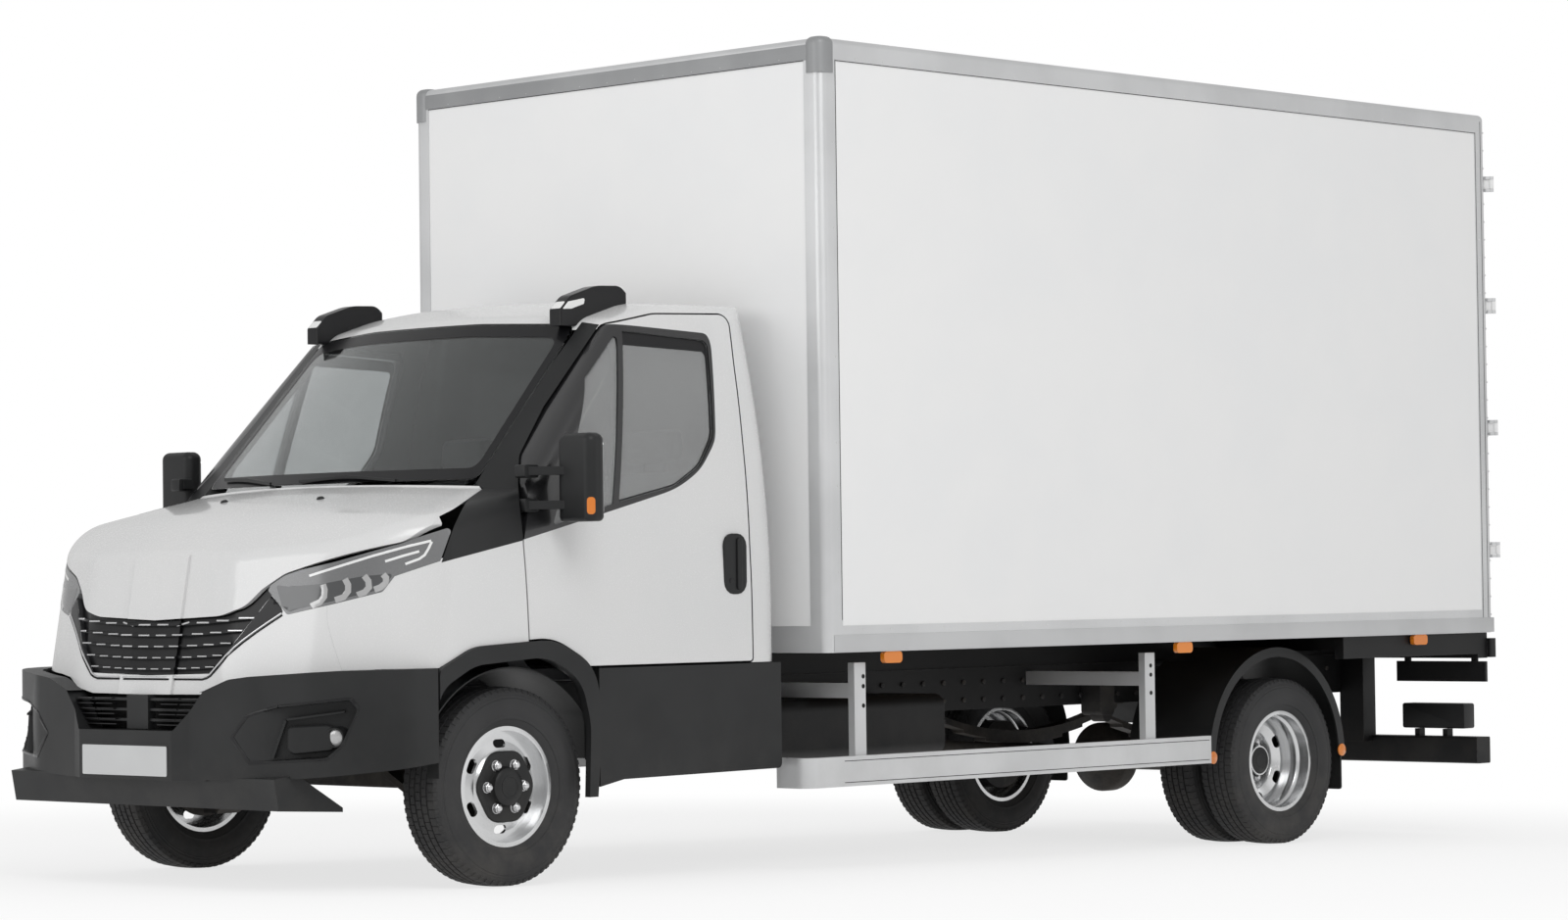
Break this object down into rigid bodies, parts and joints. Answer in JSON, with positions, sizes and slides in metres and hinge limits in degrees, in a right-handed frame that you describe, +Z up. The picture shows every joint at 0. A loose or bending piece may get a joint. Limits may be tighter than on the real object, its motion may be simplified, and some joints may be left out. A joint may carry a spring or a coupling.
{
  "type": "box truck",
  "caption": "Light box truck with a two-door cab, dry-freight box body, twin rear wheels, side guards and opening doors.",
  "frame": {"origin": "middle of the footprint, on the ground", "axes": "+X to the truck's left, +Y to its rear, +Z up"},
  "size_m": [2.436, 6.6506, 3.1807],
  "materials": {
    "white_paint": "gloss",
    "white_panel": "satin",
    "profile_aluminium": "satin",
    "grey_metal": "satin",
    "black_moulding": "matte",
    "black_gloss": "gloss",
    "chassis_paint": "satin",
    "cab_lining": "matte",
    "seat_fabric": "matte",
    "clear_glass": "clear",
    "lamp_lens": "clear",
    "amber_lens": "gloss",
    "red_lens": "gloss",
    "blank_plate": "satin",
    "cast_metal": "rough",
    "floor_wood": "matte",
    "tyre_rubber": "matte",
    "rim_paint": "satin"
  },
  "bodies": {
    "truck": {"grille": "black_moulding", "windscreen": "clear_glass", "nose_panel": "white_paint", "cab_shell": "white_paint", "cab_floor": "cab_lining", "front_bumper": "black_moulding", "number_plate": "blank_plate", "wipers": "black_moulding", "seats": "seat_fabric", "dashboard": "cab_lining", "engine": "cast_metal", "box_floor": "floor_wood", "box_front_wall": "white_panel", "box_sides": "white_panel", "box_roof": "white_panel", "box_profiles": "profile_aluminium", "corner_caps": "grey_metal", "rear_hinges": "grey_metal", "chassis_frame": "chassis_paint", "subframe": "chassis_paint", "underrun_beam": "chassis_paint", "tail_lamps": "red_lens", "tanks": "chassis_paint", "rear_axle": "chassis_paint", "leaf_springs": "chassis_paint", "front_suspension": "chassis_paint", "pillar_panels": "black_gloss", "front_wings": "white_paint", "headlamps": "lamp_lens", "lower_cladding": "black_moulding", "roof_lamps": "black_gloss", "side_markers": "amber_lens", "side_guards": "profile_aluminium", "rear_mudguards": "black_moulding"},
    "bonnet": {"bonnet": "white_paint"},
    "door_left": {"door_panel_left": "white_paint", "door_glass_left": "clear_glass", "mirror_left": "black_moulding"},
    "rear_door_left": {"rear_door_left": "white_panel"},
    "knuckle_left": {"knuckle_left": "chassis_paint"},
    "front_wheel_left": {"front_tyre_left": "tyre_rubber", "front_rim_left": "rim_paint"},
    "rear_wheels_left": {"rear_tyres_left": "tyre_rubber", "rear_rims_left": "rim_paint"},
    "door_right": {"door_panel_right": "white_paint", "door_glass_right": "clear_glass", "mirror_right": "black_moulding"},
    "rear_door_right": {"rear_door_right": "white_panel"},
    "knuckle_right": {"knuckle_right": "chassis_paint"},
    "front_wheel_right": {"front_tyre_right": "tyre_rubber", "front_rim_right": "rim_paint"},
    "rear_wheels_right": {"rear_tyres_right": "tyre_rubber", "rear_rims_right": "rim_paint"}
  },
  "joints": [
    {"name": "door_hinge_left", "type": "hinge", "parent": "truck", "child": "door_left", "pos_m": [1.01, -2.35635, 1.10024], "axis": [0, 0.019, -0.9998], "range_deg": [0, 70]},
    {"name": "rear_door_hinge_left", "type": "hinge", "parent": "truck", "child": "rear_door_left", "pos_m": [1.152, 3.29847, 2.05789], "axis": [0, 0.019, -0.9998], "range_deg": [0, 270]},
    {"name": "steering_left", "type": "hinge", "parent": "truck", "child": "knuckle_left", "pos_m": [0.735, -2.36208, 0.3495], "axis": [0, -0.019, 0.9998], "range_deg": [-35, 35]},
    {"name": "front_wheel_spin_left", "type": "hinge", "parent": "knuckle_left", "child": "front_wheel_left", "pos_m": [0.848, -2.36208, 0.3495], "axis": [1, 0, 0], "continuous": true},
    {"name": "rear_wheel_spin_left", "type": "hinge", "parent": "truck", "child": "rear_wheels_left", "pos_m": [0.779, 1.9887, 0.34949], "axis": [1, 0, 0], "continuous": true},
    {"name": "door_hinge_right", "type": "hinge", "parent": "truck", "child": "door_right", "pos_m": [-1.01, -2.35635, 1.10024], "axis": [0, -0.019, 0.9998], "range_deg": [0, 70]},
    {"name": "rear_door_hinge_right", "type": "hinge", "parent": "truck", "child": "rear_door_right", "pos_m": [-1.152, 3.29847, 2.05789], "axis": [0, -0.019, 0.9998], "range_deg": [0, 270]},
    {"name": "steering_right", "type": "hinge", "parent": "truck", "child": "knuckle_right", "pos_m": [-0.735, -2.36208, 0.3495], "axis": [0, -0.019, 0.9998], "range_deg": [-35, 35]},
    {"name": "front_wheel_spin_right", "type": "hinge", "parent": "knuckle_right", "child": "front_wheel_right", "pos_m": [-0.848, -2.36208, 0.3495], "axis": [1, 0, 0], "continuous": true},
    {"name": "rear_wheel_spin_right", "type": "hinge", "parent": "truck", "child": "rear_wheels_right", "pos_m": [-0.779, 1.9887, 0.34949], "axis": [1, 0, 0], "continuous": true},
    {"name": "bonnet_hinge", "type": "hinge", "parent": "truck", "child": "bonnet", "pos_m": [0, -2.36895, 1.50008], "axis": [-1, 0, 0], "range_deg": [0, 50]}
  ],
  "couplings": [
    {"joint": "steering_right", "follows": "steering_left", "ratio": 1}
  ]
}
